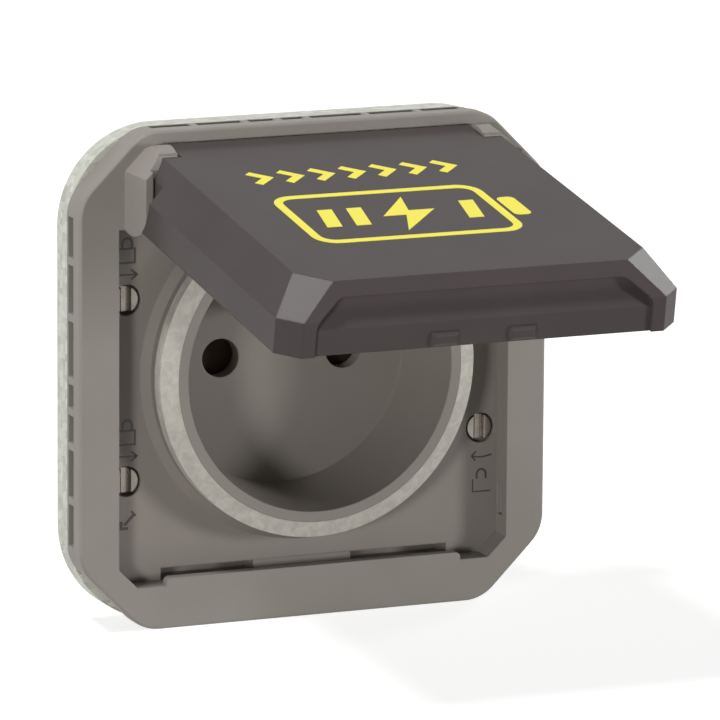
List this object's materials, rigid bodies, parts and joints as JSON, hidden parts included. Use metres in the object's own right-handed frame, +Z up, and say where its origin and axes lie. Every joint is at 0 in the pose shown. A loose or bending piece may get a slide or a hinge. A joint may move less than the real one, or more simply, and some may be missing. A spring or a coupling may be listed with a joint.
{
  "type": "ev charging wall socket",
  "caption": "Square outdoor wall socket for charging an electric vehicle, with a deep round plug well, an earth pin, a shutter and a hinged lid standing open.",
  "frame": {"origin": "centre of the wall plane, where the gasket's back face lies, on the plug well's axis", "axes": "+X right as seen from the front, +Y into the wall, +Z up"},
  "size_m": [0.0712, 0.0953, 0.0712],
  "materials": {
    "grey_abs": "fine matt moulded",
    "floor_abs": "fine matt moulded",
    "clear_tpe": "cloudy, translucent",
    "pale_tpe": "pale, satin",
    "dark_abs": "fine matt moulded",
    "brown_plastic": "matt",
    "housing_pa": "matt",
    "steel": "zinc plated",
    "spring_steel": "drawn wire",
    "nickel_brass": "nickel plated",
    "brass": "stamped",
    "magnet": "nickel plated, dull"
  },
  "bodies": {
    "mechanism": {"front_frame": "grey_abs", "wall_gasket": "clear_tpe", "socket_cover": "floor_abs", "collar_seal": "pale_tpe", "hinge_pin": "steel", "shutter_spring": "spring_steel", "mechanism_housing": "housing_pa", "rear_cover": "housing_pa", "cover_screws": "steel", "earth_pin": "nickel_brass", "earth_strap": "brass", "contact_live": "brass", "contact_neutral": "brass", "coding_magnet": "magnet", "terminal_live": "brass", "terminal_screw_live": "steel", "terminal_neutral": "brass", "terminal_screw_neutral": "steel", "terminal_earth": "brass", "terminal_screw_earth": "steel"},
    "lid": {"lid": "dark_abs"},
    "shutter": {"shutter": "brown_plastic"},
    "lock_upper_left": {"lock_screw_upper_left": "steel", "lock_cam_upper_left": "housing_pa"},
    "lock_lower_left": {"lock_screw_lower_left": "steel", "lock_cam_lower_left": "housing_pa"},
    "lock_upper_right": {"lock_screw_upper_right": "steel", "lock_cam_upper_right": "housing_pa"},
    "lock_lower_right": {"lock_screw_lower_right": "steel", "lock_cam_lower_right": "housing_pa"}
  },
  "joints": [
    {"name": "lid_hinge", "type": "hinge", "parent": "mechanism", "child": "lid", "pos_m": [0, -0.012, 0.0294], "axis": [1, 0, 0], "range_deg": [0, 80.5]},
    {"name": "shutter_slide", "type": "slide", "parent": "mechanism", "child": "shutter", "axis": [0, 0, -1], "range_m": [0, 0.0062], "stiffness_N_per_m": 80, "springref_m": -0.004, "deforming": ["shutter_spring"]},
    {"name": "lock_turn_upper_left", "type": "hinge", "parent": "mechanism", "child": "lock_upper_left", "pos_m": [-0.0272, 0, 0.0112], "axis": [0, 1, 0], "range_deg": [0, 90]},
    {"name": "lock_turn_lower_left", "type": "hinge", "parent": "mechanism", "child": "lock_lower_left", "pos_m": [-0.0272, 0, -0.0148], "axis": [0, 1, 0], "range_deg": [0, 90]},
    {"name": "lock_turn_upper_right", "type": "hinge", "parent": "mechanism", "child": "lock_upper_right", "pos_m": [0.0272, 0, 0.0148], "axis": [0, 1, 0], "range_deg": [-90, 0]},
    {"name": "lock_turn_lower_right", "type": "hinge", "parent": "mechanism", "child": "lock_lower_right", "pos_m": [0.0272, 0, -0.0112], "axis": [0, 1, 0], "range_deg": [-90, 0]}
  ]
}
